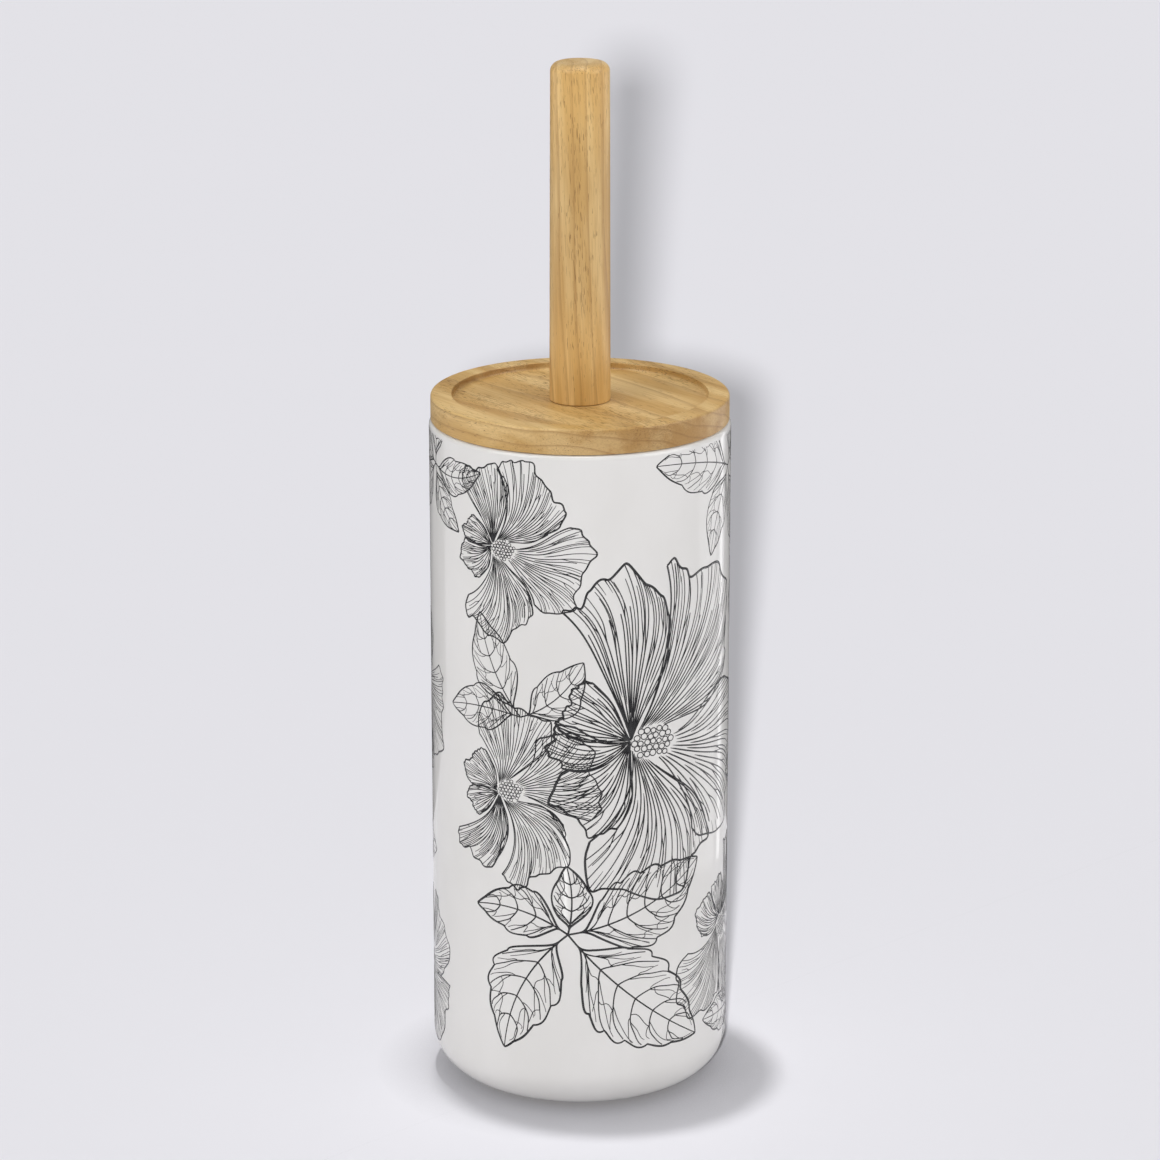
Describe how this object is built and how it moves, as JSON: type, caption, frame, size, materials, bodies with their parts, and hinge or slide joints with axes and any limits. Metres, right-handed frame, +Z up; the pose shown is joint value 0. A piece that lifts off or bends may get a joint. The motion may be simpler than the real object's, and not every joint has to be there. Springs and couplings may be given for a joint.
{
  "type": "toilet brush holder",
  "caption": "Tall round ceramic toilet brush holder with a line-drawn flower print, a dished wood lid and a straight wood handle; the brush lifts out with the lid.",
  "frame": {"origin": "on the floor, under the centre of the holder", "axes": "+Z up along the holder, rod and handle; the pictured side faces -Y"},
  "size_m": [0.1, 0.1, 0.3479],
  "materials": {
    "glazed_ceramic": "glossy white glaze",
    "soft_pad": "matt soft foam rubber",
    "lid_wood": "clear lacquered light hardwood",
    "handle_wood": "clear lacquered light hardwood",
    "insert_brass": "turned brass",
    "stud_steel": "zinc-bright steel",
    "rod_steel": "satin stainless steel",
    "seal_rubber": "matt rubber",
    "core_plastic": "satin moulded plastic",
    "bristle_nylon": "white nylon filament",
    "print_ink": "black fired print under a gloss glaze"
  },
  "bodies": {
    "holder": {"ceramic_holder": "glazed_ceramic", "foot_pad_1": "soft_pad", "foot_pad_2": "soft_pad", "foot_pad_3": "soft_pad", "foot_pad_4": "soft_pad"},
    "brush": {"wood_lid": "lid_wood", "wood_handle": "handle_wood", "handle_insert": "insert_brass", "top_stud": "stud_steel", "lid_washer": "stud_steel", "rod_tube": "rod_steel", "bottom_stud": "stud_steel"},
    "seal": {"head_seal": "seal_rubber"},
    "brush_head": {"brush_core": "core_plastic", "bristle_row_01": "bristle_nylon", "bristle_row_02": "bristle_nylon", "bristle_row_03": "bristle_nylon", "bristle_row_04": "bristle_nylon", "bristle_row_05": "bristle_nylon", "bristle_row_06": "bristle_nylon", "bristle_row_07": "bristle_nylon", "bristle_row_08": "bristle_nylon", "bristle_row_09": "bristle_nylon", "bristle_end": "bristle_nylon"}
  },
  "joints": [
    {"name": "brush_lift", "type": "slide", "parent": "holder", "child": "brush", "axis": [0, 0, 1], "range_m": [0, 0.23]},
    {"name": "head_advance", "type": "slide", "parent": "brush", "child": "seal", "axis": [0, 0, -1], "range_m": [0, 0.0126]},
    {"name": "head_turn", "type": "hinge", "parent": "seal", "child": "brush_head", "pos_m": [0, 0, 0.117], "axis": [0, 0, -1], "range_deg": [0, 2250]}
  ],
  "couplings": [
    {"joint": "head_advance", "follows": "head_turn", "m_per_rad": 0.00031831}
  ]
}
